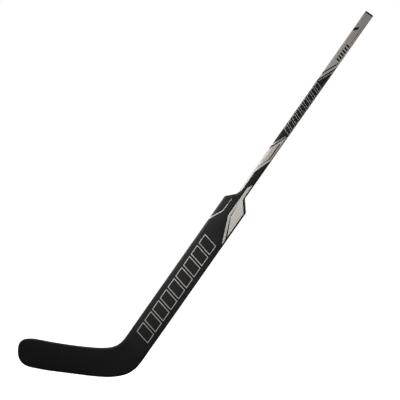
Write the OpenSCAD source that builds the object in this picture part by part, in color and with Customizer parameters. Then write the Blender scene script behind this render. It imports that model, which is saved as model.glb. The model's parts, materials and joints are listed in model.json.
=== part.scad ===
// Ice hockey goalkeeper's stick, laid up from separate pieces: a hollow shaft, a wide paddle and a
// curved blade, each a core and edge rails between two skins, with transfer films over them.
// The stick is in its playing position. The flat of the sole is on the ice at Z = 0 with the
// origin in its middle, the toe points to -X, the shaft leans to +X and the forehand faces -Y.
// "Toe side" is the edge of the paddle that faces the toe, "heel side" the opposite edge.

/* [Stick] */
// Angle between the shaft and the ice, in degrees
lie = 62.2; // [60:0.1:64]

/* [Shaft] */
// Width of the shaft, seen from the front
shaft_w = 29.5; // [28:0.5:30]
// Thickness of the shaft, front to back
shaft_t = 20; // [19:0.5:21]
// Distance from the middle of the shoulders to the butt end
shaft_l = 747; // [600:1:850]
// Width of the flattened corners, seen from the front
corner_w = 5.5; // [4:0.5:6]
// Depth of the flattened corners, seen from the side
corner_t = 4.5; // [3.5:0.5:5]
// Wall of the shaft tube
wall = 2.5; // [2:0.1:3]
// Length of the tenon that the tube pushes into the paddle
tenon_l = 110; // [60:5:140]

/* [Paddle] */
// Width of the paddle
paddle_w = 89; // [84:1:90]
// Distance from the heel corner on the ice to the middle of the shoulders
paddle_l = 690; // [680:1:720]
// Thickness in the middle of the paddle
paddle_mid_t = 20; // [19:0.5:22]
// Thickness where the crowned face meets the flattened edge
paddle_side_t = 15.2; // [14:0.1:17]
// Thickness at the very edge
paddle_edge_t = 11; // [9:0.5:13]
// Width of the flattened edge
paddle_edge_w = 5.5; // [4:0.5:7]
// How far the toe side shoulder corner lies below the middle of the shoulders
toe_drop = 14; // [10:1:24]
// How far the heel side shoulder corner lies below the middle of the shoulders
heel_drop = 20; // [10:1:24]

/* [Blade] */
// Length of the flat stretch of the sole
flat_l = 100; // [90:5:110]
// Thickness at the heel
blade_heel_t = 18; // [16:0.5:20]
// Thickness at the toe
blade_toe_t = 12; // [10:0.5:14]
// Depth of the curve at the toe
toe_curve = 14; // [0:1:15]

/* [Construction] */
// Thickness of each skin
skin_t = 2; // [1.5:0.1:2.5]
// Width of the edge rails
rail_w = 4; // [3:0.5:5]
// Width of the stiffening spine in the paddle
spine_w = 34; // [30:1:40]
// Thickness of the printed transfer films
film_t = 0.2; // [0.1:0.05:0.3]

/* [Butt plug] */
// Thickness of the plug's cap
cap_t = 5.5; // [4:0.5:7]
// Length of the stem in the tube
stem_l = 45; // [35:1:50]
// Gap between the stem and the tube, on each side
stem_gap = 0.05; // [0.03:0.01:0.1]

/* [Hidden] */

// Height above the mid-shoulder line at which the shaft comes out of the paddle
neck_s = 16.5;
// Radius of the shoulder corners
shoulder_r = 6;
// The joint between paddle and blade, square across the shaft line below the shoulders
scarf_s = -600;
// Length of a straight piece of an arc
arc_piece = 7;
// Reach of the cutting prisms, beyond the stick on every side
reach = 60;
far = 1500;
// Where the toe curve starts, and the ends of the stretch where the blade's thickness changes
curve_x = 20;
heel_x = 110;
toe_x = -180;
// Heights and places where the blade's inner pieces part
core_split_z = 30;
rail_split_z = 45;
toe_rail_x = -120;
// Foam bung in the tube, just above the paddle
bung_s = [30, 75];
// Tenon of the tube and its bore
tenon_w = 22;
tenon_t = 13;
tenon_wall = 2.5;

// --- directions of the shaft, in the X-Z plane ---
up = [cos(lie), sin(lie)];
across = [sin(lie), -cos(lie)];

// --- outline of paddle and blade ---
// A path is a list of steps: [length] is straight on, [radius, turn] is an arc, to the left
// where the turn is positive. A path moved inwards keeps its turns and changes its radii.
function arc_point(p, h, r, a) =
    p + sign(a) * r * [sin(h + a) - sin(h), cos(h) - cos(h + a)];
function path_point(p, h, steps, i) =
    i == len(steps) ? p :
    len(steps[i]) == 1 ? path_point(p + steps[i][0] * [cos(h), sin(h)], h, steps, i + 1) :
    path_point(arc_point(p, h, steps[i][0], steps[i][1]), h + steps[i][1], steps, i + 1);
function path(p, h, steps, i = 0) =
    i == len(steps) ? [p] :
    len(steps[i]) == 1 ?
        concat([p], path(p + steps[i][0] * [cos(h), sin(h)], h, steps, i + 1)) :
    let (r = steps[i][0], a = steps[i][1],
         n = max(2, ceil(r * abs(a) * PI / 180 / arc_piece)))
    concat([for (j = [0 : n - 1]) arc_point(p, h, r, a * j / n)],
           path(arc_point(p, h, r, a), h + a, steps, i + 1));
function moved_in(steps, d, side) =
    [for (s = steps) len(s) == 1 ? s : [s[0] - side * sign(s[1]) * d, s[1]]];
function reversed(v) = [for (i = [len(v) - 1 : -1 : 0]) v[i]];

// Heel: from the flat of the sole round to the back edge of the paddle
heel_steps = [[900, 4], [210, 16], [96, 36], [260, lie - 56]];
heel_end = path_point([flat_l / 2, 0], 0, heel_steps, 0);
// Distance of the shaft line from the origin, and of the shoulders along it
line_x = heel_end * across - paddle_w / 2;
shoulder_run = (line_x + paddle_w / 2) / tan(lie) + paddle_l;
foot = line_x * across + shoulder_run * up;
function shaft_s(p) = p * up - shoulder_run;

// Toe: from the flat of the sole round the toe, along the top edge and up the paddle's toe side
toe_steps = [[700, -4], [25], [97, -14], [43, -54], [84, -25], [26, -66], [98, -17], [160, -4]];
top_steps = [[1400, 6.5], [300, 9.5], [68, 38], [120, lie - 50]];
top_heading = -4;
// The top edge's straight stretch is as long as the paddle's width needs
top_gap = (line_x - paddle_w / 2)
        - path_point([-flat_l / 2, 0], 180, concat(toe_steps, top_steps), 0) * across;
top_l = top_gap / ([cos(top_heading), sin(top_heading)] * across);
inner_steps = concat(toe_steps, [[top_l]], top_steps);
inner_end = path_point([-flat_l / 2, 0], 180, inner_steps, 0);

// Shoulders: a rounded corner, then a slope up to the side of the shaft
function shoulder(end_s, drop) =
    let (out = (paddle_w - shaft_w) / 2, a = atan(out / (neck_s + drop)),
         cut = shoulder_r * tan(a / 2))
    [a, -drop - end_s - cut, out / sin(a) - cut];
heel_shoulder = shoulder(shaft_s(heel_end), heel_drop);
toe_shoulder = shoulder(shaft_s(inner_end), toe_drop);
heel_path = concat(heel_steps, [[heel_shoulder[1]], [shoulder_r, heel_shoulder[0]],
                                [heel_shoulder[2]]]);
toe_path = concat(inner_steps, [[toe_shoulder[1]], [shoulder_r, -toe_shoulder[0]],
                                [toe_shoulder[2]]]);
function outline(d) =
    concat(reversed(path([-flat_l / 2, d], 180, moved_in(toe_path, d, -1))),
           path([flat_l / 2, d], 0, moved_in(heel_path, d, 1)));

// --- thickness of the paddle: t runs across it, towards the heel side ---
crown_half = paddle_w / 2 - paddle_edge_w;
crown_ts = concat([-paddle_w / 2 - 1], [-paddle_w / 2],
                  [for (i = [-8 : 8]) crown_half * i / 8],
                  [paddle_w / 2], [paddle_w / 2 + 1]);
function crown(t) =
    abs(t) <= crown_half ?
        (paddle_mid_t - (paddle_mid_t - paddle_side_t) * pow(t / crown_half, 2)) / 2 :
        (paddle_side_t - (paddle_side_t - paddle_edge_t)
            * min(1, (abs(t) - crown_half) / paddle_edge_w)) / 2;

// --- thickness and curve of the blade, seen from above ---
blade_xs = [for (x = [-190 : 10 : 310]) x];
function blade_y(x) = x > curve_x ? 0 : -toe_curve * pow((curve_x - x) / (curve_x - toe_x), 2);
function blade_half(x) =
    (blade_toe_t + (blade_heel_t - blade_toe_t)
        * min(1, max(0, (x - toe_x) / (heel_x - toe_x)))) / 2;

// --- section of the shaft, grown outwards all round ---
corner_l = sqrt(corner_w * corner_w + corner_t * corner_t);
function shaft_corners(grow) =
    let (x = shaft_w / 2 + grow, y = shaft_t / 2 + grow,
         cx = shaft_w / 2 - corner_w + grow * (corner_l - corner_w) / corner_t,
         cy = shaft_t / 2 - corner_t + grow * (corner_l - corner_t) / corner_w)
    [[x, -cy], [x, cy], [cx, y], [-cx, y], [-x, cy], [-x, -cy], [-cx, -y], [cx, -y]];

// --- placing ---
// Takes a shape whose x is across the paddle, y front to back and z up the shaft
module on_shaft() {
    translate([foot[0], 0, foot[1]]) rotate([0, 90 - lie, 0]) children();
}
// A flat shape in x and y, drawn out along the shaft from s0 to s1
module along_shaft(s0, s1) {
    on_shaft() translate([0, 0, s0]) linear_extrude(s1 - s0) children();
}
// A flat shape across and along the shaft, drawn out through the stick from front to back
module through_shaft() {
    on_shaft() rotate([90, 0, 0]) translate([0, 0, -reach]) linear_extrude(2 * reach) children();
}
// A flat shape in X and Z, drawn out through the stick from front to back
module through() {
    rotate([90, 0, 0]) translate([0, 0, -reach]) linear_extrude(2 * reach) children();
}
module silhouette(d = 0) { through() polygon(outline(d)); }
module rail_ring() {
    difference() {
        silhouette();
        silhouette(rail_w);
    }
}
module toe_half() { through_shaft() translate([-far, -far]) square([far, 2 * far]); }
module heel_half() { through_shaft() translate([0, -far]) square([far, 2 * far]); }
module below_scarf() { through_shaft() translate([-far, scarf_s - far]) square([2 * far, far]); }
// Everything between two X values and two Z values
module zone(x0, x1, z0, z1) { through() translate([x0, z0]) square([x1 - x0, z1 - z0]); }

// --- layers: face is -1 for the forehand and 1 for the back, depth is below the surface ---
module paddle_layer(face, d0, d1) {
    along_shaft(scarf_s, neck_s)
        polygon(concat([for (t = crown_ts) [t, face * (crown(t) - d0)]],
                       reversed([for (t = crown_ts) [t, face * (crown(t) - d1)]])));
}
module paddle_inside() {
    along_shaft(scarf_s, neck_s)
        polygon(concat([for (t = crown_ts) [t, skin_t - crown(t)]],
                       reversed([for (t = crown_ts) [t, crown(t) - skin_t]])));
}
module blade_plan(points) {
    intersection() {
        translate([0, 0, -5]) linear_extrude(300) polygon(points);
        below_scarf();
    }
}
module blade_layer(face) {
    blade_plan(concat(
        [for (x = blade_xs) [x, blade_y(x) + face * blade_half(x)]],
        reversed([for (x = blade_xs) [x, blade_y(x) + face * (blade_half(x) - skin_t)]])));
}
module blade_inside() {
    blade_plan(concat(
        [for (x = blade_xs) [x, blade_y(x) - blade_half(x) + skin_t]],
        reversed([for (x = blade_xs) [x, blade_y(x) + blade_half(x) - skin_t]])));
}
module tenon() {
    along_shaft(-tenon_l, neck_s) square([tenon_w, tenon_t], center = true);
}

// --- shaft ---
module shaft_tube() {
    color("#26262a") difference() {
        union() {
            along_shaft(neck_s, shaft_l - cap_t) polygon(shaft_corners(0));
            tenon();
        }
        along_shaft(neck_s + 6, shaft_l) polygon(shaft_corners(-wall));
        along_shaft(-tenon_l - 1, neck_s + 7)
            square([tenon_w - 2 * tenon_wall, tenon_t - 2 * tenon_wall], center = true);
    }
}
module shaft_bung() {
    color("#e8e2cc") along_shaft(bung_s[0], bung_s[1]) polygon(shaft_corners(-wall));
}
module butt_plug() {
    color("#1a1a1c") {
        along_shaft(shaft_l - cap_t, shaft_l - 1.5) polygon(shaft_corners(0));
        along_shaft(shaft_l - 1.5, shaft_l) polygon(shaft_corners(-1.2));
        difference() {
            along_shaft(shaft_l - cap_t - stem_l, shaft_l - cap_t)
                polygon(shaft_corners(-wall - stem_gap));
            along_shaft(shaft_l - cap_t - stem_l - 1, shaft_l - cap_t - 3)
                polygon(shaft_corners(-2 * wall));
        }
    }
}

// --- paddle ---
module paddle_face_skin() {
    color("#26262a") intersection() {
        silhouette();
        paddle_layer(-1, 0, skin_t);
    }
}
module paddle_back_skin() {
    color("#26262a") intersection() {
        silhouette();
        paddle_layer(1, 0, skin_t);
    }
}
// A piece of the paddle's filling, left of, right of or along the shaft line
module paddle_filling(s0, s1, t0, t1) {
    difference() {
        intersection() {
            silhouette(rail_w);
            paddle_inside();
            through_shaft() translate([t0, s0]) square([t1 - t0, s1 - s0]);
        }
        tenon();
    }
}
module paddle_spine() {
    color("#c9a877") paddle_filling(scarf_s, reach, -spine_w / 2, spine_w / 2);
}
module paddle_core_toe_side() {
    color("#efe9d6") paddle_filling(scarf_s, -reach, -paddle_w, -spine_w / 2);
}
module paddle_core_heel_side() {
    color("#efe9d6") paddle_filling(scarf_s, -reach, spine_w / 2, paddle_w);
}
module shoulder_block_toe_side() {
    color("#d9cfae") paddle_filling(-reach, reach, -paddle_w, -spine_w / 2);
}
module shoulder_block_heel_side() {
    color("#d9cfae") paddle_filling(-reach, reach, spine_w / 2, paddle_w);
}
module paddle_rail_toe_side() {
    color("#2d2d30") difference() {
        intersection() {
            rail_ring();
            paddle_inside();
            toe_half();
        }
        tenon();
    }
}
module paddle_rail_heel_side() {
    color("#2d2d30") difference() {
        intersection() {
            rail_ring();
            paddle_inside();
            heel_half();
        }
        tenon();
    }
}

// --- blade ---
module blade_face_skin() {
    color("#1e1e21") intersection() {
        silhouette();
        blade_layer(-1);
    }
}
module blade_back_skin() {
    color("#1e1e21") intersection() {
        silhouette();
        blade_layer(1);
    }
}
module sole_rail() {
    color("#2d2d30") difference() {
        intersection() {
            rail_ring();
            blade_inside();
            zone(toe_rail_x, far, -far, far);
        }
        intersection() {
            zone(toe_rail_x - 1, far, rail_split_z, far);
            toe_half();
        }
    }
}
module toe_rail() {
    color("#2d2d30") intersection() {
        rail_ring();
        blade_inside();
        zone(-far, toe_rail_x, -far, far);
    }
}
module top_rail() {
    color("#2d2d30") intersection() {
        rail_ring();
        blade_inside();
        zone(toe_rail_x, far, rail_split_z, far);
        toe_half();
    }
}
module blade_filling(x0, x1, z0, z1) {
    intersection() {
        silhouette(rail_w);
        blade_inside();
        zone(x0, x1, z0, z1);
    }
}
module heel_core() { color("#d9cfae") blade_filling(heel_x, far, -far, far); }
module blade_core_lower() { color("#d9cfae") blade_filling(-far, heel_x, -far, core_split_z); }
module blade_core_upper() { color("#efe9d6") blade_filling(-far, heel_x, core_split_z, far); }

// --- transfer films: flat shapes across and along the shaft, printed on both faces ---
module film() {
    intersection() {
        through_shaft() children();
        union() {
            paddle_layer(-1, -film_t, 0);
            paddle_layer(1, -film_t, 0);
        }
    }
    intersection() {
        through_shaft() children();
        difference() {
            along_shaft(neck_s, shaft_l - cap_t) polygon(shaft_corners(film_t));
            along_shaft(neck_s - 1, shaft_l) polygon(shaft_corners(0));
        }
    }
}
// Outlined slanted bars in a row up the shaft, each w across and l long, leaning by lean
module bar_row(count, pitch, w, l, lean, line) {
    for (i = [0 : count - 1]) translate([0, i * pitch]) {
        difference() {
            polygon([[-w / 2, lean], [-w / 2, lean + l], [w / 2, l], [w / 2, 0]]);
            polygon([[-w / 2 + line, lean + line], [-w / 2 + line, lean + l - line],
                     [w / 2 - line, l - line], [w / 2 - line, line]]);
        }
    }
}
// A strip between two slanted lines, from one side of the shaft to the other
module slanted(s0, s1, slope, t0 = -20, t1 = 20) {
    polygon([[t0, s0 + slope * t0], [t0, s1 + slope * t0], [t1, s1 + slope * t1],
             [t1, s0 + slope * t1]]);
}
module paddle_bars() {
    color("#a8a49e") film() translate([0, -553]) bar_row(9, 44, 52, 36, 12, 1.8);
}
module shoulder_panel() {
    color("#b8b4ae") film()
        polygon([[7.6, 61.5], [11, 68], [11, 9], [39, -27], [39, -119], [10.5, -57], [7.6, -8]]);
}
module shoulder_stripe() {
    color("#cfccc6") film() difference() {
        polygon([[0.8, 50], [7.5, 61.5], [7.5, -56], [39, -132], [39, -151], [0.8, -58]]);
        polygon([[7.4, -8], [8, -8], [8, -60], [7.4, -57]]);
    }
}
module paddle_pinstripe() {
    color("#b8b4ae") film()
        polygon([[-19.5, -8], [-20.5, -58], [-45, -107], [-45, -99], [-23.5, -56], [-21.5, -8]]);
}
module shaft_diamond() {
    color("#b3afa8") film() difference() {
        union() {
            polygon([[-20, 80.5], [-20, 180.5], [4, 240.5], [8, 253], [20, 283], [20, 188.5]]);
            polygon([[-20, 193], [-20, 205.5], [7, 260.5], [7, 257.5]]);
        }
        polygon([[-10, 132.5], [3.4, 166.3], [3.4, 226], [7.2, 229.5], [7.2, 168.2], [-10, 130.2]]);
    }
}
module corner_band() {
    color("#d2cfc9") film() polygon([[-20, 24], [-20, 80.5], [-10, 107.5], [-10, 34], [-13, 24]]);
}
module shaft_bars() {
    color("#8b8882") film() translate([0, 268]) bar_row(9, 21.5, 26, 15, 10, 1.1);
}
module grip_stripes() {
    color("#b3afa8") film() {
        slanted(491, 495.5, 2.25, -10, 20);
        slanted(508, 525, 2.25);
    }
}
module grip_wrap() {
    color("#9c9994") film() difference() {
        polygon([[-20, 490], [-20, far], [20, far], [20, 580]]);
        slanted(525 - far, 535, 2.25, -21, 7);
        polygon([[6.9, 0], [6.9, 553], [9.5, 553], [9.5, 0]]);
        slanted(525 - far, 525, 2.25, 6, 21);
        size_shape();
        end_shape();
    }
}
module size_shape() {
    for (i = [0 : 5]) translate([-3, 558 + 11 * i])
        polygon([[0, 3], [0, 9], [13, 6], [13, 0]]);
    translate([6.5, 628]) square([1.2, 72]);
}
module end_shape() {
    polygon([[-13, 668], [-1, 680], [-1, 692], [-13, 680]]);
}
module size_bars() { color("#1c1c1e") film() size_shape(); }
module end_mark() { color("#1c1c1e") film() end_shape(); }

shaft_tube();
shaft_bung();
butt_plug();
paddle_face_skin();
paddle_back_skin();
paddle_spine();
paddle_rail_toe_side();
paddle_rail_heel_side();
paddle_core_toe_side();
paddle_core_heel_side();
shoulder_block_toe_side();
shoulder_block_heel_side();
blade_face_skin();
blade_back_skin();
sole_rail();
toe_rail();
top_rail();
heel_core();
blade_core_lower();
blade_core_upper();
paddle_bars();
shoulder_panel();
shoulder_stripe();
paddle_pinstripe();
shaft_diamond();
shaft_bars();
corner_band();
grip_wrap();
grip_stripes();
size_bars();
end_mark();
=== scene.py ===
import json
import math

import bmesh
import bpy
from mathutils import Matrix, Vector


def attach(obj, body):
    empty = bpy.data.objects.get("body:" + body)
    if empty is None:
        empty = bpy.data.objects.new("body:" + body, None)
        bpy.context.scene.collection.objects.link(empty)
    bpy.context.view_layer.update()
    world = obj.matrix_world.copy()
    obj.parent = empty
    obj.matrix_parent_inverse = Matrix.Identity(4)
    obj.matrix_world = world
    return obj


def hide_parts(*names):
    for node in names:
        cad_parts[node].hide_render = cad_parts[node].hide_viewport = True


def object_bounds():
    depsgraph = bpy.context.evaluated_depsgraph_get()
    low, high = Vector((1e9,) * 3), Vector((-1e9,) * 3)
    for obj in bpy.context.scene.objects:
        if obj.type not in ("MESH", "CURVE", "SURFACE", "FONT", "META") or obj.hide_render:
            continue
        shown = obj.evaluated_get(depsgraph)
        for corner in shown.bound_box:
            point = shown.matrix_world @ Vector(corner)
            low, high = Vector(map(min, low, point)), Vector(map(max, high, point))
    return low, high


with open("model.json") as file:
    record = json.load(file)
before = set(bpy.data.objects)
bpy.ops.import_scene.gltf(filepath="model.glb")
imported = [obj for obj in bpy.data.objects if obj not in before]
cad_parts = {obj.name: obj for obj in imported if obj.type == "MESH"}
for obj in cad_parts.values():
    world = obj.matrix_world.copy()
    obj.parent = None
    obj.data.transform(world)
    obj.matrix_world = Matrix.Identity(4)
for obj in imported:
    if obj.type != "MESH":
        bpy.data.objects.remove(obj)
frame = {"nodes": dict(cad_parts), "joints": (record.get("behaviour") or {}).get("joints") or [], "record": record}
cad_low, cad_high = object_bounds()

# The stick is modelled in its own flat frame, in millimetres: x runs across the shaft towards the
# heel side, y from the forehand to the back, z up the shaft from the middle of the shoulders.
MM = 0.001
RECORD = frame["record"]
UP = Vector(frame["joints"][0]["axis"]).normalized()
ACROSS = Vector((UP.z, 0, -UP.x))
# The grip's mount is on the shaft's line, this far above the shoulders
GRIP_S = 350
GRIP = Vector(next(m for m in RECORD["mounts"] if m["name"] == "grip")["pos_m"])
SHOULDER = GRIP - UP * GRIP_S * MM
STICK = Matrix((ACROSS * MM, Vector((0, MM, 0)), UP * MM)).transposed().to_4x4()
STICK.translation = SHOULDER
LEAN = math.atan2(UP.x, UP.z)
SOLE_MIDDLE = Vector((-SHOULDER.dot(ACROSS), -SHOULDER.dot(UP))) / MM

# Shaft and butt plug, as in the CAD model
SHAFT_W, SHAFT_T, SHAFT_CORNER_T = 29.5, 20, 4.5
BUTT_S, CAP_T, WALL = 747, 5.5, 2.5
SEAT_S = BUTT_S - CAP_T
STEM_L = 45
# Paddle: its width, the height of the neck, the shoulders' corners, and the joint with the blade
PADDLE_W, NECK_S = 89, 16.5
TOE_DROP, HEEL_DROP, SHOULDER_R = 14, 20, 6
SCARF_S = -600
# Blade: the flat of the sole, and where along it the thickness and the curve begin and end
FLAT_L = 100
HEEL_X, CURVE_X, TOE_X = 110, 20, -180
TOE_CURVE = 14

# Fillets between the shoulders and the shaft, and where the shaft's own surface starts above them
TOE_FILLET, HEEL_FILLET = 18, 8
NECK_TOP = 40
# Section of the edge all round: distance in from the outline and height on a 20 mm thick slab
EDGE = [(6.8, 10.0), (5.5, 9.93), (4.5, 9.62), (1.0, 8.28), (0.4, 7.92), (0.1, 7.5), (0, 6.9), (0, 3.4)]
FACE_H, EDGE_H = 10, 7.9
# The crown takes this share off the height at its sides, and fades out at the neck and the blade
CROWN_HALF, CROWN_DROP = 39, 0.24
CROWN_NECK, CROWN_RUNOUT = (34, -30), 110
# Heights between which the paddle's shallow edge deepens to the shaft's corners
CORNER_BLEND = (-25, 34)
# The blade is this share thinner than the slab at its heel, and again from there to its toe
HEEL_THINNING, HEEL_RUN = 0.1, 70
TOE_THINNING = 0.33
# Wall that the visible skins and edge rails are given
SKIN_T, RAIL_T = 1.2, 3
# Parts of the painted surface
FOREHAND, RIM, BACK = 0, 1, 2

# How finely the surface is cut: longest piece and sharpest bend of an arc, rings near the neck
# and on the straight shaft, columns across half the crown, and slices of the blade
ARC_PIECE, ARC_BEND = 4, 6
RING_STEP, SHAFT_STEP, NECK_RINGS_END = 10, 50, 60
SCARF_RINGS = 60
CROWN_COLUMNS = 8
BLADE_SLICES = range(-176, 300, 8)
# Sharpest bend between two faces that is still shaded smooth, in degrees
CREASE = 35


def smooth(a, b, x):
    """0 at a and 1 at b, with a level start and end."""
    u = min(1, max(0, (x - a) / (b - a)))
    return u * u * (3 - 2 * u)


# --- outline ---
def turn_point(p, heading, radius, turn):
    """Where an arc from p ends; it bends to the left where turn is positive, in degrees."""
    a, b = math.radians(heading), math.radians(heading + turn)
    k = math.copysign(radius, turn)
    return p + k * Vector((math.sin(b) - math.sin(a), math.cos(a) - math.cos(b)))


def walk(start, heading, steps, inset, side):
    """Points along straight lines (length,) and arcs (radius, turn), moved in by inset.

    The inside is on the left where side is 1 and on the right where it is -1."""
    h = math.radians(heading)
    p = start + inset * side * Vector((-math.sin(h), math.cos(h)))
    points = [p]
    for step in steps:
        if len(step) == 1:
            h = math.radians(heading)
            p = p + step[0] * Vector((math.cos(h), math.sin(h)))
            points.append(p)
            continue
        radius, turn = step
        length = radius * math.radians(abs(turn))
        pieces = max(2, math.ceil(length / ARC_PIECE), math.ceil(abs(turn) / ARC_BEND))
        radius -= side * math.copysign(inset, turn)
        points += [turn_point(p, heading, radius, turn * (i + 1) / pieces) for i in range(pieces)]
        p = points[-1]
        heading += turn
    return points


# The ice's slope against the line across the shaft, and the shaft's own angle on the ice
ICE = math.degrees(LEAN)
LIE = 90 - ICE
ALONG_ICE = Vector((math.cos(LEAN), math.sin(LEAN)))
HEEL_START = SOLE_MIDDLE + ALONG_ICE * FLAT_L / 2
TOE_START = SOLE_MIDDLE - ALONG_ICE * FLAT_L / 2
# Arcs as (radius, turn): round the heel, round the toe, and from the top edge up to the paddle
HEEL_ARCS = [(900, 4), (210, 16), (96, 36), (260, LIE - 56)]
TOE_ARCS = [(700, -4), (25,), (97, -14), (43, -54), (84, -25), (26, -66), (98, -17), (160, -4)]
TOP_ARCS = [(1400, 6.5), (300, 9.5), (68, 38), (120, LIE - 50)]
# Slope of the top edge's straight stretch against the ice
TOP_SLOPE = -4


def shoulder_steps(end_s, drop, fillet, sign):
    """From the paddle's edge round the shoulder and up the side of the shaft."""
    out = (PADDLE_W - SHAFT_W) / 2
    angle = math.atan(out / (NECK_S + drop))
    corner, inner = SHOULDER_R * math.tan(angle / 2), fillet * math.tan(angle / 2)
    turn = sign * math.degrees(angle)
    return [(-drop - end_s - corner,), (SHOULDER_R, turn),
            (out / math.sin(angle) - corner - inner,), (fillet, -turn),
            (NECK_TOP - NECK_S - inner,), (SEAT_S - NECK_TOP,)]


def stick_paths():
    """The steps of the toe side and of the heel side, from the sole to the butt."""
    heel_end = walk(HEEL_START, ICE, HEEL_ARCS, 0, 1)[-1]
    # The top edge's straight stretch is as long as the paddle's width needs
    loose = walk(TOE_START, ICE + 180, TOE_ARCS + TOP_ARCS, 0, -1)[-1]
    top = (-PADDLE_W / 2 - loose.x) / math.cos(math.radians(ICE + TOP_SLOPE))
    toe = TOE_ARCS + [(top,)] + TOP_ARCS
    toe_end = walk(TOE_START, ICE + 180, toe, 0, -1)[-1]
    return (toe + shoulder_steps(toe_end.y, TOE_DROP, TOE_FILLET, -1),
            HEEL_ARCS + shoulder_steps(heel_end.y, HEEL_DROP, HEEL_FILLET, 1))


def outline(inset):
    """The stick's outline from the butt's toe side round the blade to its heel side."""
    toe, heel = stick_paths()
    left = walk(TOE_START, ICE + 180, toe, inset, -1)
    right = walk(HEEL_START, ICE, heel, inset, 1)
    return left[::-1] + right


# --- body ---
def part_x(x, z):
    """How far the point is along the ice from the middle of the sole."""
    return (SHOULDER.x + (ACROSS.x * x + UP.x * z) * MM) / MM


def shaped(co):
    """Takes a point of the even slab to its place on the crowned paddle or the curved blade."""
    x, y, z = co
    drop = FACE_H - EDGE_H
    deep = 1 + (SHAFT_CORNER_T / drop - 1) * smooth(*CORNER_BLEND, z)
    if abs(y) >= EDGE_H:
        height = FACE_H - (FACE_H - abs(y)) * deep
    else:
        height = abs(y) / EDGE_H * (FACE_H - drop * deep)
    crown = smooth(*CROWN_NECK, z) * smooth(SCARF_S, SCARF_S + CROWN_RUNOUT, z)
    height *= 1 - CROWN_DROP * crown * min(1, abs(x) / CROWN_HALF) ** 2
    height *= 1 - HEEL_THINNING * smooth(SCARF_S, SCARF_S - HEEL_RUN, z)
    bend = 0
    if z < SCARF_S:
        along = part_x(x, z)
        height *= 1 - TOE_THINNING * min(1, max(0, (HEEL_X - along) / (HEEL_X - TOE_X)))
        bend = -TOE_CURVE * (max(0, CURVE_X - along) / (CURVE_X - TOE_X)) ** 2
    return Vector((x, bend + math.copysign(height, y), z))


def cut_all(bm, faces, point, normal):
    """Cuts the faces along a plane."""
    geom = set(faces)
    for f in faces:
        geom.update(f.edges)
        geom.update(f.verts)
    bmesh.ops.bisect_plane(bm, geom=list(geom), dist=0.001, plane_co=point, plane_no=normal)


def height_of(face):
    return face.calc_center_median().z


def reaches(face, axis, value):
    """Whether the face lies on both sides of the plane."""
    places = [v.co[axis] for v in face.verts]
    return min(places) < value < max(places)


def flat_sheet():
    """The outline's insets as rows of a grid, and one face for each side of the stick."""
    rows = EDGE + [(d, -y) for d, y in reversed(EDGE)]
    loops = [outline(d) for d, _ in rows]
    columns = len(loops[0])
    bm = bmesh.new()
    bmesh.ops.create_grid(bm, x_segments=columns - 1, y_segments=len(rows) - 1, size=1)
    # Row by row, and along each row from its start
    bm.verts.sort(key=lambda v: 1000 * v.co.y + v.co.x)
    bm.verts.ensure_lookup_table()
    for i, v in enumerate(bm.verts):
        row, column = divmod(i, columns)
        x, z = loops[row][column]
        v.co = x, -rows[row][1], z
    for f in bm.faces:
        middle = f.calc_center_median().y
        side = FOREHAND if middle < 0 else BACK
        f.material_index = side if abs(middle) > EDGE[-1][1] else RIM
    verts = list(bm.verts)
    for chain, part in ((verts[:columns], FOREHAND), (verts[-columns:], BACK)):
        bm.faces.new(chain).material_index = part
    return bm


def cut_ring(bm, z):
    cut_all(bm, [f for f in bm.faces if reaches(f, 2, z)], (0, 0, z), (0, 0, 1))


def cut_for_bending(bm):
    """Cuts the flat sheet finely enough to take the crown, the neck and the blade's curve."""
    cut_all(bm, bm.faces[:], (0, 0, SCARF_S), (0, 0, 1))
    for z in range(SCARF_S + RING_STEP, BUTT_S, RING_STEP):
        if z < NECK_RINGS_END or z % SHAFT_STEP == 0:
            cut_ring(bm, z)
    for i in range(-CROWN_COLUMNS, CROWN_COLUMNS + 1):
        x = CROWN_HALF * i / CROWN_COLUMNS
        near = [f for f in bm.faces if reaches(f, 0, x) and SCARF_S < height_of(f) < NECK_TOP]
        cut_all(bm, near, (x, 0, 0), (1, 0, 0))
    for z in range(SCARF_S - SCARF_RINGS, SCARF_S, RING_STEP):
        cut_ring(bm, z)
    way = Vector((ALONG_ICE.x, 0, ALONG_ICE.y))
    base = Vector((SOLE_MIDDLE.x, 0, SOLE_MIDDLE.y))
    for x in BLADE_SLICES:
        cut_all(bm, [f for f in bm.faces if height_of(f) < SCARF_S], base + way * x, way)


def make_skin():
    """The whole painted surface from the toe to the plug's seat, as one open sheet."""
    bm = flat_sheet()
    cut_for_bending(bm)
    for v in bm.verts:
        v.co = shaped(v.co)
    bmesh.ops.recalc_face_normals(bm, faces=bm.faces[:])
    return bm


def keep(bm, wanted):
    """A copy with only the wanted faces."""
    part = bm.copy()
    part.faces.ensure_lookup_table()
    bmesh.ops.delete(part, geom=[f for f in part.faces if not wanted(f)], context="FACES")
    return part


# --- finishing a piece ---
def finish(bm, name, body, slot, material, replaced):
    """Makes the mesh an object in the part's frame, riding on its body for the replaced nodes."""
    for f in bm.faces:
        f.material_index = 0
        f.smooth = True
    for e in bm.edges:
        if len(e.link_faces) == 2 and e.calc_face_angle(0) > math.radians(CREASE):
            e.smooth = False
    bm.transform(STICK)
    mesh = bpy.data.meshes.new(name)
    bm.to_mesh(mesh)
    bm.free()
    mesh.materials.append(material)
    piece = bpy.data.objects.new(name, mesh)
    bpy.context.scene.collection.objects.link(piece)
    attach(piece, body)
    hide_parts(*replaced)


def thicken(bm, thickness):
    """Gives a sheet its thickness, inwards."""
    bmesh.ops.solidify(bm, geom=bm.faces[:], thickness=thickness)
    bmesh.ops.recalc_face_normals(bm, faces=bm.faces[:])


# --- materials ---
# Scale of a wave texture whose bands are 2 mm apart, as the laminate's yarns are
YARN_SCALE = 157


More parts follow.
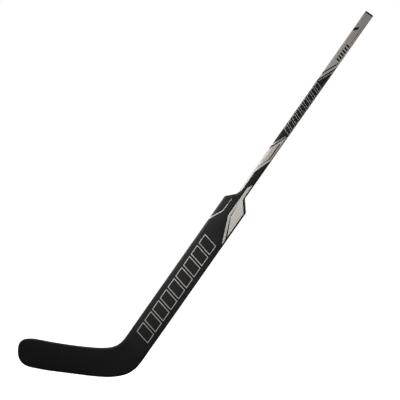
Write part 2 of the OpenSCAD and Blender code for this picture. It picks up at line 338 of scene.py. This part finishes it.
class Wire:
    """A value in a material, so that a sum is written as a sum."""

    def __init__(self, finish, socket):
        self.finish, self.socket = finish, socket

    def maths(self, operation, *values):
        return self.finish.node("ShaderNodeMath", {"operation": operation}, list(values))

    def __add__(self, other):
        return self.maths("ADD", self, other)

    def __mul__(self, other):
        return self.maths("MULTIPLY", self, other)

    def __sub__(self, other):
        return self.maths("SUBTRACT", self, other)

    def __rsub__(self, other):
        return self.maths("SUBTRACT", other, self)

    __radd__, __rmul__ = __add__, __mul__


class Finish:
    """A material, its main shader and its object coordinates."""

    def __init__(self, name, base, roughness, **constants):
        self.material = bpy.data.materials.new(name)
        self.material.use_nodes = True
        self.nodes, self.links = self.material.node_tree.nodes, self.material.node_tree.links
        self.shader = self.nodes["Principled BSDF"]
        self.set("Base Color", (*base, 1))
        self.set("Roughness", roughness)
        for socket, value in constants.items():
            self.set(socket.replace("_", " "), value)
        self.place = self.node("ShaderNodeTexCoord", {}, [], "Object")

    def set(self, socket, value):
        if isinstance(value, Wire):
            self.links.new(value.socket, self.shader.inputs[socket])
        else:
            self.shader.inputs[socket].default_value = value

    def node(self, kind, settings, values, output=0):
        """Adds a node; settings come first, then the values or wires of its sockets."""
        made = self.nodes.new(kind)
        for key, value in settings.items():
            if key == "stops":
                ramp = made.color_ramp.elements
                while len(ramp) < len(value):
                    ramp.new(0.5)
                for stop, (place, grey) in zip(ramp, value):
                    stop.position = place
                    stop.color = (*grey, 1) if isinstance(grey, tuple) else (grey, grey, grey, 1)
            else:
                setattr(made, key, value)
        pairs = values.items() if isinstance(values, dict) else enumerate(values)
        for key, value in pairs:
            if isinstance(value, Wire):
                self.links.new(value.socket, made.inputs[key])
            elif value is not None:
                made.inputs[key].default_value = value
        return Wire(self, made.outputs[output])

    def noise(self, scale, detail, place=None):
        """Soft random patches, 1 / scale metres across."""
        return self.node("ShaderNodeTexNoise", {},
                         {"Vector": place or self.place, "Scale": scale, "Detail": detail})

    def weave(self):
        """The cloth of the laminate, showing faintly through the paint."""
        yarns = []
        for turn in (LEAN + math.radians(45), LEAN - math.radians(45)):
            turned = self.node("ShaderNodeMapping", {}, {"Vector": self.place,
                                                         "Rotation": (0, -turn, 0)})
            yarns.append(self.node("ShaderNodeTexWave", {"bands_direction": "X"},
                                   {"Vector": turned, "Scale": YARN_SCALE}, 1))
        return yarns[0] * yarns[1]

    def ramp(self, value, *stops):
        """Turns a value into a grey or a colour, by stops of (value, grey or colour)."""
        return self.node("ShaderNodeValToRGB", {"stops": stops}, [value])

    def mix(self, factor, a, b):
        """A colour between a and b."""
        return self.node("ShaderNodeMix", {"data_type": "RGBA"}, {0: factor, 6: a, 7: b}, 2)

    def bump(self, height, depth):
        """Relief of the given depth, in metres."""
        self.set("Normal", self.node("ShaderNodeBump", {}, {"Height": height, "Distance": depth}))


def black_paint(name, tone=(0.0185, 0.0183, 0.0182), roughness=0.36):
    """Satin black lacquer: a faint orange peel over the cloth, fine dust and a slight mottle."""
    f = Finish(name, tone, roughness, Specular_IOR_Level=0.14)
    mottle = f.noise(14, 4)
    dust = f.noise(900, 2)
    dark = tuple(c * 0.85 for c in tone) + (1,)
    light = tuple(c * 1.2 for c in tone) + (1,)
    f.set("Base Color", f.mix(mottle, dark, light))
    f.set("Roughness", f.ramp(mottle, (0.3, roughness - 0.04), (0.7, roughness + 0.05))
          + (dust - 0.5) * 0.08)
    f.bump(f.weave() * 0.25 + f.noise(260, 3) * 0.55 + dust * 0.2, 0.00005)
    return f.material


def print_film(name, tone):
    """Printed grey under lacquer, with the fine flake of silver ink."""
    roughness, flake = 0.4, 0.03
    f = Finish(name, tone, roughness)
    speck = f.noise(2600, 1)
    cloud = f.noise(18, 3)
    dark = tuple(c * (1 - flake) for c in tone) + (1,)
    light = tuple(min(1, c * (1 + flake)) for c in tone) + (1,)
    f.set("Base Color", f.mix(speck * 0.7 + cloud * 0.3, dark, light))
    f.set("Roughness", f.ramp(cloud, (0.3, roughness - 0.03), (0.7, roughness + 0.04)))
    f.bump(f.noise(260, 2), 0.00002)
    return f.material


def rubber():
    """Moulded black rubber with a fine matt grain."""
    f = Finish("plug_rubber_moulded", (0.013, 0.013, 0.0135), 0.62)
    grain = f.noise(1800, 2)
    f.set("Roughness", 0.55 + grain * 0.16)
    f.bump(grain, 0.00012)
    return f.material


def foam(name, tone, cell):
    """Rigid closed-cell foam: small cells, each a little lighter or darker."""
    f = Finish(name, tone, 0.85)
    cells = f.node("ShaderNodeTexVoronoi", {}, {"Vector": f.place, "Scale": cell})
    dark = tuple(c * 0.8 for c in tone) + (1,)
    f.set("Base Color", f.mix(f.ramp(cells, (0.2, 1.0), (0.8, 0.0)), dark, (*tone, 1)))
    f.bump(1 - cells, 0.0003)
    return f.material


def spine_wood():
    """Straight-grained softwood, its grain along the shaft."""
    f = Finish("sanded_spine_wood", (0.5, 0.34, 0.19), 0.7)
    turned = f.node("ShaderNodeMapping", {}, {"Vector": f.place,
                                              "Rotation": (0, -LEAN, 0),
                                              "Scale": (160, 160, 4)})
    grain = f.noise(1, 4, turned)
    f.set("Base Color", f.ramp(grain, (0.35, (0.62, 0.45, 0.27)), (0.62, (0.4, 0.25, 0.12))))
    f.bump(grain, 0.0002)
    return f.material


SKIN_PAINT = black_paint("skin_satin_black")
SHAFT_PAINT = black_paint("shaft_satin_black")
GREY_FILM = print_film("warm_grey_print", (0.452, 0.421, 0.400))
PANEL_FILM = print_film("light_warm_grey_print", (0.585, 0.560, 0.528))
PALE_FILM = print_film("pale_grey_print", (0.505, 0.485, 0.457))
LINE_FILM = print_film("outline_print", (0.55, 0.53, 0.50))
BLACK_FILM = black_paint("black_print", (0.013, 0.013, 0.013), 0.4)
RUBBER = rubber()
LIGHT_FOAM = foam("light_closed_cell_foam", (0.82, 0.78, 0.66), 900)
DENSE_FOAM = foam("dense_closed_cell_foam", (0.66, 0.58, 0.40), 1600)
SPINE_WOOD = spine_wood()


# --- skins, rails and shaft ---
def make_skins(skin):
    """Forehand skin, back skin and the edge between them, up to the neck."""
    for part, name, replaced in (
            (FOREHAND, "forehand_skin", ("paddle_face_skin", "blade_face_skin")),
            (BACK, "back_skin", ("paddle_back_skin", "blade_back_skin"))):
        bm = keep(skin, lambda f: f.material_index == part and height_of(f) < NECK_TOP)
        thicken(bm, SKIN_T)
        finish(bm, name, "stick", "skin_paint", SKIN_PAINT, replaced)
    bm = keep(skin, lambda f: f.material_index == RIM and height_of(f) < NECK_TOP)
    thicken(bm, RAIL_T)
    finish(bm, "edge_rails", "stick", "edge_laminate", SKIN_PAINT,
           ("paddle_rail_toe_side", "paddle_rail_heel_side", "sole_rail", "toe_rail", "top_rail"))


def section(grow):
    """The shaft's section, grown outwards all round, as points in order."""
    points = []
    for d, y in EDGE:
        p = shaped(Vector((SHAFT_W / 2 - d, y, SEAT_S)))
        scale_x, scale_y = 1 + grow / (SHAFT_W / 2), 1 + grow / (SHAFT_T / 2)
        points.append((p.x * scale_x, p.y * scale_y))
    right = points + [(x, -y) for x, y in reversed(points)]
    return right + [(-x, -y) for x, y in right]


def ring(bm, grow, z):
    """A closed loop of the shaft's section."""
    verts = [bm.verts.new((x, y, z)) for x, y in section(grow)]
    return [bm.edges.new((a, b)) for a, b in zip(verts, verts[1:] + verts[:1])]


def loft(rings):
    """Joins loops of the shaft's section one after another, with flat ends."""
    bm = bmesh.new()
    loops = [ring(bm, grow, z) for grow, z in rings]
    for a, b in zip(loops, loops[1:]):
        bmesh.ops.bridge_loops(bm, edges=a + b)
    for loop in (loops[0], loops[-1]):
        bmesh.ops.contextual_create(bm, geom=loop)
    bmesh.ops.recalc_face_normals(bm, faces=bm.faces[:])
    return bm


def make_shaft():
    """The tube above the neck, with a broken edge at its mouth and a deep bore for the plug."""
    bore_s, edge = SEAT_S - 120, 0.4
    bm = loft([(0, NECK_TOP), (0, SEAT_S - edge), (-edge, SEAT_S), (-WALL + edge, SEAT_S),
               (-WALL, SEAT_S - edge), (-WALL, bore_s)])
    finish(bm, "shaft", "stick", "shaft_paint", SHAFT_PAINT, ("shaft_tube",))


def make_plug():
    """From the hollow of the stem round its foot, up over its grooves, and over the cap."""
    stem, groove, hollow = -WALL - 0.06, -WALL - 0.5, -2 * WALL
    foot_s = SEAT_S - STEM_L
    first_groove, groove_pitch, groove_w, bevel = 6, 9, 3, 0.5
    rings = [(hollow, SEAT_S - 3), (hollow, foot_s + 0.5), (hollow + 0.4, foot_s),
             (stem - 0.8, foot_s), (stem, foot_s + 1.5)]
    for i in range(4):
        z = foot_s + first_groove + groove_pitch * i
        rings += [(stem, z), (groove, z + bevel), (groove, z + groove_w - bevel), (stem, z + groove_w)]
    rings += [(stem, SEAT_S - 0.6), (-WALL - 0.3, SEAT_S), (-0.5, SEAT_S), (0, SEAT_S + 0.4),
              (0, BUTT_S - 2), (-0.35, BUTT_S - 0.9), (-1.1, BUTT_S - 0.25), (-2.2, BUTT_S),
              (-4, BUTT_S), (-4.4, BUTT_S - 0.15), (-4.7, BUTT_S - 0.6)]
    finish(loft(rings), "butt_plug_moulding", "plug", "plug_rubber", RUBBER, ("butt_plug",))


# --- transfer films, as convex patches of (x, z) points ---
def bar(x0, x1, z, length, lean, line):
    """The four sides of one outlined bar, whose left end is higher by lean."""
    slope = lean / (x1 - x0)
    outer = [(x0, z + lean), (x0, z + lean + length), (x1, z + length), (x1, z)]
    rise = line * slope
    inner = [(x0 + line, z + lean + line - rise), (x0 + line, z + lean + length - line - rise),
             (x1 - line, z + length - line + rise), (x1 - line, z + line + rise)]
    return [[outer[i], outer[(i + 1) % 4], inner[(i + 1) % 4], inner[i]] for i in range(4)]


PADDLE_BARS = sum([bar(-26, 26, -553 + 44 * i, 36, 12, 1.8) for i in range(9)], [])
SHAFT_BARS = sum([bar(-13, 13, 268 + 21.5 * i, 15, 10, 1.1) for i in range(9)], [])
SHOULDER_PANEL = [[(7.6, -8), (7.6, 61.5), (11, 68), (11, 9)],
                  [(7.6, -8), (11, 9), (39, -27), (39, -119), (10.5, -57)]]
SHOULDER_STRIPE = [[(0.8, -58), (0.8, 50), (7.5, 61.5), (7.5, -56)],
                   [(0.8, -58), (7.5, -56), (39, -132), (39, -151)]]
PINSTRIPE = [[(-21.5, -8), (-20.3, -8), (-20.5, -58), (-23.5, -56)],
             [(-23.5, -56), (-20.5, -58), (-45, -107), (-45, -99)]]
DIAMOND = [[(-16, 91.3), (7.2, 153.9), (7.2, 168.2), (-10, 130.2), (-16, 117)],
           [(7.2, 153.9), (16, 177.7), (16, 273.6), (7.2, 250.1)],
           [(-16, 117.3), (-10, 132.5), (3.4, 166.3), (3.4, 239), (-16, 190.5)],
           [(3.4, 226), (7.2, 229.5), (7.2, 250.1), (3.4, 239)],
           [(-16, 203), (7, 257.5), (7, 260.5), (-16, 213.4)]]
CORNER_BAND = [[(-16, 24), (-13, 24), (-10, 36), (-10, 107.5), (-16, 91.3)]]
GRIP_STRIPES = [[(-10, 468.5), (16, 527), (16, 531.5), (-10, 473)],
                [(-16, 472), (16, 544), (16, 561), (-16, 489)]]
GRIP_WRAP = [[(-16, 499), (6.9, 550.5), (6.9, SEAT_S), (-16, SEAT_S)],
             [(6.9, 553), (9.5, 553), (9.5, SEAT_S), (6.9, SEAT_S)],
             [(9.5, 546.4), (16, 561), (16, SEAT_S), (9.5, SEAT_S)]]
SIZE_BARS = [[(-3, 561 + 11 * i), (-3, 567 + 11 * i), (10, 564 + 11 * i), (10, 558 + 11 * i)]
             for i in range(6)] + [[(6.5, 628), (7.7, 628), (7.7, 700), (6.5, 700)]]
END_MARK = [[(-13, 668), (-1, 680), (-1, 692), (-13, 680)]]


def patch(skin, points):
    """The part of the skin inside a convex outline, on both faces."""
    low, high = min(z for _, z in points), max(z for _, z in points)
    bm = keep(skin, lambda f: (max(v.co.z for v in f.verts) > low
                               and min(v.co.z for v in f.verts) < high))
    middle = sum((Vector(p) for p in points), Vector((0, 0))) / len(points)
    for a, b in zip(points, points[1:] + points[:1]):
        a, b = Vector(a), Vector(b)
        out = Vector((b.y - a.y, a.x - b.x)).normalized()
        if out.dot(middle - a) > 0:
            out = -out
        geom = bm.verts[:] + bm.edges[:] + bm.faces[:]
        bmesh.ops.bisect_plane(bm, geom=geom, dist=0.001, plane_co=(a.x, 0, a.y),
                               plane_no=(out.x, 0, out.y), clear_outer=True)
    return bm


def make_film(skin, name, slot, material, patches, lift=0.12):
    """A printed mark on both faces, proud of the paint by lift and let into it a little."""
    let_in = 0.05
    bm = bmesh.new()
    for points in patches:
        part = patch(skin, points)
        part.normal_update()
        for v in part.verts:
            v.co += v.normal * lift
        thicken(part, lift + let_in)
        mesh = bpy.data.meshes.new("patch")
        part.to_mesh(mesh)
        part.free()
        bm.from_mesh(mesh)
        bpy.data.meshes.remove(mesh)
    finish(bm, name + "_print", "stick", slot, material, (name,))


def make_films(skin):
    """All the printed marks, each cut from the shaft's or the paddle's stretch of the skin."""
    lowest_on_shaft, highest_on_paddle = -160, 60
    shaft = keep(skin, lambda f: height_of(f) > lowest_on_shaft)
    paddle = keep(skin, lambda f: SCARF_S < height_of(f) < highest_on_paddle)
    make_film(paddle, "paddle_bars", "line_film", LINE_FILM, PADDLE_BARS)
    make_film(shaft, "shoulder_panel", "grey_film", PANEL_FILM, SHOULDER_PANEL)
    make_film(shaft, "shoulder_stripe", "pale_film", PALE_FILM, SHOULDER_STRIPE)
    make_film(paddle, "paddle_pinstripe", "grey_film", GREY_FILM, PINSTRIPE)
    make_film(shaft, "shaft_diamond", "grey_film", GREY_FILM, DIAMOND)
    make_film(shaft, "corner_band", "pale_film", PALE_FILM, CORNER_BAND)
    make_film(shaft, "shaft_bars", "line_film", LINE_FILM, SHAFT_BARS)
    make_film(shaft, "grip_wrap", "grey_film", GREY_FILM, GRIP_WRAP)
    make_film(shaft, "grip_stripes", "grey_film", GREY_FILM, GRIP_STRIPES)
    # The black marks lie over the grey wrap
    make_film(shaft, "size_bars", "black_film", BLACK_FILM, SIZE_BARS, 0.2)
    make_film(shaft, "end_mark", "black_film", BLACK_FILM, END_MARK, 0.2)
    shaft.free()
    paddle.free()


painted = make_skin()
make_skins(painted)
make_shaft()
make_plug()
make_films(painted)
painted.free()

# --- cores, seen only when the stick is taken apart ---
for material, nodes in (
        (LIGHT_FOAM, ("paddle_core_toe_side", "paddle_core_heel_side", "blade_core_upper",
                      "shaft_bung")),
        (DENSE_FOAM, ("shoulder_block_toe_side", "shoulder_block_heel_side", "heel_core",
                      "blade_core_lower")),
        (SPINE_WOOD, ("paddle_spine",))):
    for node in nodes:
        frame["nodes"][node].data.materials.clear()
        frame["nodes"][node].data.materials.append(material)


# --- stage ---
def make_floor():
    """A pale floor, lit to plain white, that throws no light of its own up on the stick."""
    half, gap = 40, 0.0005
    bm = bmesh.new()
    bmesh.ops.create_grid(bm, x_segments=1, y_segments=1, size=half)
    mesh = bpy.data.meshes.new("floor")
    bm.to_mesh(mesh)
    bm.free()
    floor = bpy.data.objects.new("floor", mesh)
    floor.location.z = -gap
    bpy.context.scene.collection.objects.link(floor)
    floor.visible_diffuse = False
    floor.visible_glossy = False
    f = Finish("pale_floor", (0.8, 0.8, 0.8), 0.9, Emission_Color=(1, 1, 1, 1),
               Emission_Strength=1.0)
    mesh.materials.append(f.material)


def make_world():
    """White where the camera sees it, and only a trace of light on the stick."""
    trace, white = 0.025, 1.0
    world = bpy.data.worlds.new("studio")
    bpy.context.scene.world = world
    world.use_nodes = True
    nodes, links = world.node_tree.nodes, world.node_tree.links
    back = nodes["Background"]
    back.inputs["Color"].default_value = (1, 1, 1, 1)
    path = nodes.new("ShaderNodeLightPath")
    level = nodes.new("ShaderNodeMapRange")
    level.inputs["To Min"].default_value = trace
    level.inputs["To Max"].default_value = white
    links.new(path.outputs["Is Camera Ray"], level.inputs["Value"])
    links.new(level.outputs["Result"], back.inputs["Strength"])


def make_light(name, angle, distance, height, aim, size, watts, spread=180):
    """A square soft box that looks at the shaft's line.

    Its angle is taken off the forehand's normal towards the toe side; its height and its aim's
    are metres up the shaft from the shoulders."""
    turn = math.radians(angle)
    out = ACROSS * math.sin(turn) + Vector((0, math.cos(turn), 0))
    place = SHOULDER + UP * height - out * distance
    data = bpy.data.lights.new(name, "AREA")
    data.size, data.energy, data.spread = size, watts, math.radians(spread)
    light = bpy.data.objects.new(name, data)
    light.location = place
    light.rotation_euler = (SHOULDER + UP * aim - place).to_track_quat("-Z", "Y").to_euler()
    light.visible_camera = False
    bpy.context.scene.collection.objects.link(light)


def make_camera():
    """Looks square at the forehand from far off, with the shaft 35 degrees off upright."""
    distance, shaft_tilt = 6.0, math.radians(35.07)
    # Where the camera aims, off the middle of the stick's own box
    aim = (cad_low + cad_high) / 2 + Vector((0.0214, 0, -0.033))
    aim.y = 0
    data = bpy.data.cameras.new("camera")
    data.lens, data.sensor_width, data.clip_end = 165, 36, 200
    camera = bpy.data.objects.new("camera", data)
    roll = Matrix.Rotation(shaft_tilt - LEAN, 4, "Z")
    level = Matrix.Rotation(math.radians(90), 4, "X")
    camera.matrix_world = Matrix.Translation(aim - Vector((0, distance, 0))) @ level @ roll
    bpy.context.scene.collection.objects.link(camera)
    bpy.context.scene.camera = camera


bpy.context.scene.view_settings.view_transform = "Standard"
make_floor()
make_world()
make_light("key", angle=50, distance=0.8, height=0, aim=0, size=0.45, watts=8.6)
make_light("edge", angle=100, distance=0.8, height=0.3, aim=0.3, size=0.4, watts=1.6)
make_light("low edge", angle=78, distance=0.7, height=-0.42, aim=-0.42, size=0.35, watts=0.9)
make_light("paddle edge", angle=60, distance=0.7, height=-0.36, aim=-0.36, size=0.3, watts=0.32,
           spread=50)
make_light("fill", angle=-64, distance=0.85, height=0.6, aim=0.5, size=0.4, watts=2.8)
make_light("back", angle=205, distance=1.6, height=0, aim=0, size=1.2, watts=18)
make_light("top", angle=150, distance=0.9, height=1.3, aim=0.4, size=0.8, watts=12)
make_camera()
